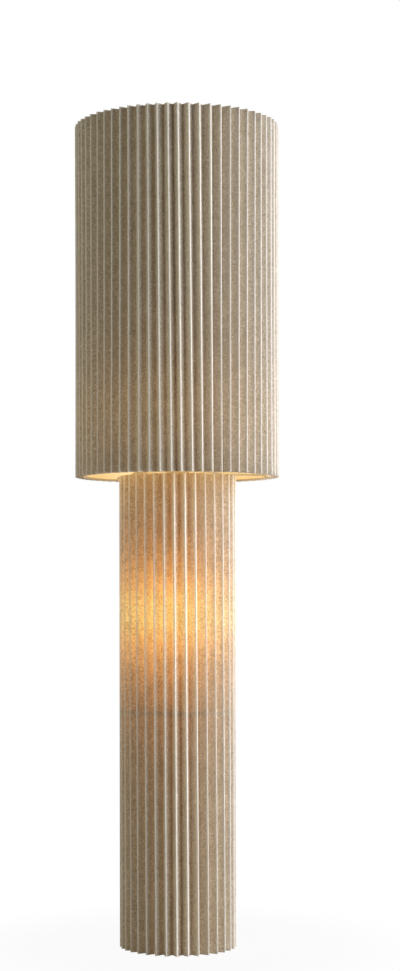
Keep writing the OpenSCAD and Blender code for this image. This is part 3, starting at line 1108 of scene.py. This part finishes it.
@dataclass(frozen=True)
class Lights(FramePart):
    """The two lampholders with their bulbs and the wiring."""

    finishes: Finishes = (
        (CoatFinish("holder_plastic", (0.68, 0.66, 0.6), 0.3, depth=0.00002, shade=0.02),
         (*both("holder_cap", "holder_shell"), "terminal_block", "lead_clips")),
        (CoatFinish("holder_ceramic", (0.82, 0.80, 0.75), 0.7, skin=0.0005, shade=0.04),
         both("holder_core")),
        (MetalFinish("brass_sheet", (0.74, 0.52, 0.2), (0.5, 0.33, 0.12), 0.3),
         both("holder_insert", "holder_contact")),
        (MetalFinish("nickel_plate", (0.66, 0.63, 0.58), (0.5, 0.47, 0.42), 0.22),
         both("bulb_cap")),
        (CoatFinish("tip_glass", (0.012, 0.012, 0.014), 0.2, skin=0.004), both("bulb_tip")),
        (LitGlassFinish("bulb_glass", (0.6, 0.57, 0.5), (1.0, 0.67, 0.29), 2.4),
         both("bulb_globe")),
        (CoatFinish("lead_sheath", (0.6, 0.59, 0.55), 0.45, skin=0.003, shade=0.03),
         both("lead")))


# ---------- studio ----------


@dataclass(frozen=True)
class SoftBox:
    """A large flat lamp that looks at a point of the object.

    Attributes:
        name: Its name.
        place: Where it stands.
        power: Its power in watts.
        colour: Its colour.
        width: Its width.
        height: Its height.
        target: What it looks at.
    """

    name: str
    place: tuple[float, float, float]
    power: float
    colour: Colour
    width: float = 1.6
    height: float = 3.0
    target: tuple[float, float, float] = (0.0, 0.0, 0.75)

    def build(self) -> None:
        """Makes the lamp."""
        data = bpy.data.lights.new(self.name, "AREA")
        data.shape = "RECTANGLE"
        data.size, data.size_y = self.width, self.height
        data.energy = self.power
        data.color = self.colour
        lamp = bpy.data.objects.new(self.name, data)
        lamp.visible_camera = False
        lamp.location = self.place
        look = Vector(self.target) - Vector(self.place)
        lamp.rotation_euler = look.to_track_quat("-Z", "Y").to_euler()
        bpy.context.scene.collection.objects.link(lamp)


@dataclass
class Studio:
    """White surroundings, a pale floor and soft lamps.

    Attributes:
        fill: Colour of the weak light from all round.
        floor_radius: Radius of the floor.
        floor_steps: Number of corners of its rim.
        floor_paint: Its colour to the light.
        floor_fade: Distances from the axis where its shadow is full and where it ends.
        floor_shadow: How dark the shadow is.
        lamps: The soft lamps.
    """

    fill: Colour = (0.004, 0.004, 0.004)
    floor_radius: float = 6.0
    floor_steps: int = 96
    floor_paint: Colour = (0.3, 0.285, 0.26)
    floor_fade: Range = (0.2, 0.5)
    floor_shadow: float = 0.05
    lamps: tuple[SoftBox, ...] = (
        SoftBox("key_box", (2.97, -0.39, 0.95), 150.0, (0.90, 0.92, 1.0)),
        SoftBox("side_box", (2.38, -1.83, 0.95), 37.0, (0.93, 0.97, 1.0)),
        SoftBox("front_box", (0.39, -2.97, 0.95), 7.0, (1.0, 0.91, 0.76)),
        SoftBox("left_box", (-2.38, -1.83, 0.95), 30.0, (1.0, 0.95, 0.76)),
        SoftBox("back_box", (-1.2, 2.75, 0.95), 52.0, (1.0, 0.97, 0.92), width=2.0))

    def seen_directly(self, tree: bpy.types.NodeTree) -> Socket:
        """Adds nodes that tell camera, glossy and transmission rays from light's own rays.

        Args:
            tree: The node tree to add them to.

        Returns:
            A number that is 1 for those rays.
        """
        path = add_node(tree, "LightPath")
        result = path.outputs["Is Camera Ray"]
        for name in ("Is Glossy Ray", "Is Transmission Ray"):
            either = add_node(tree, "Math", operation="MAXIMUM")
            tree.links.new(result, either.inputs[0])
            tree.links.new(path.outputs[name], either.inputs[1])
            result = either.outputs[0]
        return result

    def end_tree(self, tree: bpy.types.NodeTree, output: str, share: Socket,
                 unseen: bpy.types.Node, seen: bpy.types.Node) -> None:
        """Ends a tree with a mix of two shaders.

        Args:
            tree: The node tree.
            output: The output node's type, without the leading ShaderNode.
            share: How much of the second shader.
            unseen: The first shader, which the light's own rays meet.
            seen: The second shader, which the camera sees.
        """
        blend = add_node(tree, "MixShader")
        for target, source in zip(blend.inputs, (share, unseen.outputs[0], seen.outputs[0])):
            tree.links.new(source, target)
        tree.links.new(blend.outputs[0], add_node(tree, output).inputs[0])

    def build_world(self) -> None:
        """Makes the white background and the weak light from all round."""
        world = bpy.data.worlds.new("studio_world")
        bpy.context.scene.world = world
        world.use_nodes = True
        tree = world.node_tree
        tree.nodes.clear()
        weak = add_node(tree, "Background")
        weak.inputs["Color"].default_value = (*self.fill, 1.0)
        white = add_node(tree, "Background")
        white.inputs["Color"].default_value = (1.0, 1.0, 1.0, 1.0)
        self.end_tree(tree, "OutputWorld", self.seen_directly(tree), weak, white)

    def floor_material(self) -> bpy.types.Material:
        """Makes the pale floor, white to the camera apart from the lamp's own shadow.

        Returns:
            The floor's material.
        """
        material = bpy.data.materials.new("studio_floor")
        material.use_nodes = True
        tree = material.node_tree
        tree.nodes.clear()
        paint = add_node(tree, "BsdfDiffuse")
        paint.inputs["Color"].default_value = (*self.floor_paint, 1.0)
        place = add_node(tree, "TexCoord")
        length = add_node(tree, "VectorMath", operation="LENGTH")
        tree.links.new(place.outputs["Object"], length.inputs[0])
        fade = add_node(tree, "MapRange", interpolation_type="SMOOTHSTEP")
        numbers = (*self.floor_fade, 1.0 - self.floor_shadow, 1.0)
        for socket, number in zip(fade.inputs[1:5], numbers):
            socket.default_value = number
        tree.links.new(length.outputs["Value"], fade.inputs[0])
        share = add_node(tree, "Math", operation="MULTIPLY")
        tree.links.new(self.seen_directly(tree), share.inputs[0])
        tree.links.new(fade.outputs["Result"], share.inputs[1])
        self.end_tree(tree, "OutputMaterial", share.outputs[0], paint,
                      add_node(tree, "Emission"))
        return material

    def build_floor(self) -> None:
        """Makes the round floor under the lamp."""
        steps = range(self.floor_steps)
        rim = [(self.floor_radius * math.cos(math.tau * i / self.floor_steps),
                self.floor_radius * math.sin(math.tau * i / self.floor_steps), 0.0) for i in steps]
        mesh = bpy.data.meshes.new("studio_floor")
        mesh.from_pydata(rim, [], [tuple(steps)])
        mesh.materials.append(self.floor_material())
        floor = bpy.data.objects.new("studio_floor", mesh)
        bpy.context.scene.collection.objects.link(floor)

    def build(self) -> None:
        """Makes all of the studio."""
        self.build_world()
        self.build_floor()
        for lamp in self.lamps:
            lamp.build()
        bpy.context.scene.view_settings.view_transform = "Standard"


@dataclass(frozen=True)
class PhotoCamera:
    """The camera of the photograph, fitted to the lamp's printed sizes.

    Attributes:
        distance: Distance from the lamp's axis.
        height: Height above the floor.
        focal_px: Focal length in pixels of the photograph.
        axis_px: Column of the lamp's axis in the photograph.
        horizon_px: Row of the camera's own height.
        roll: Turn of the picture, in radians.
        frame_px: Width and height of the photograph.
        sensor: Size of the sensor's long side in millimetres.
        clip: The nearest and the farthest distance that it shows.
    """

    distance: float = 3.2357
    height: float = 0.6087
    focal_px: float = 1891.5
    axis_px: float = 177.9
    horizon_px: float = 591.0
    roll: float = 0.0014
    frame_px: tuple[int, int] = (400, 971)
    sensor: float = 36.0
    clip: Range = (0.05, 50.0)

    def build(self) -> None:
        """Makes the camera and gives it to the scene."""
        data = bpy.data.cameras.new("photo_camera")
        width, height = self.frame_px
        data.sensor_width = self.sensor
        data.lens = self.focal_px / height * self.sensor
        data.shift_x = (width / 2 - self.axis_px) / height
        data.shift_y = (self.horizon_px - height / 2) / height
        data.clip_start, data.clip_end = self.clip
        camera = bpy.data.objects.new("photo_camera", data)
        camera.location = (0.0, -self.distance, self.height)
        camera.rotation_euler = (math.radians(90.0), self.roll, 0.0)
        bpy.context.scene.collection.objects.link(camera)
        bpy.context.scene.camera = camera


def main() -> None:
    """Builds the lamp piece by piece and then the studio."""
    logging.basicConfig(level=logging.INFO, format="%(name)s: %(message)s")
    PhotoCamera().build()
    wire = WIRE_COAT.make()
    Foot().build()
    RodFrame().build()
    Lights().build()
    Column().build(wire)
    Shade().build(wire)
    Studio().build()


if __name__ == "__main__":
    main()
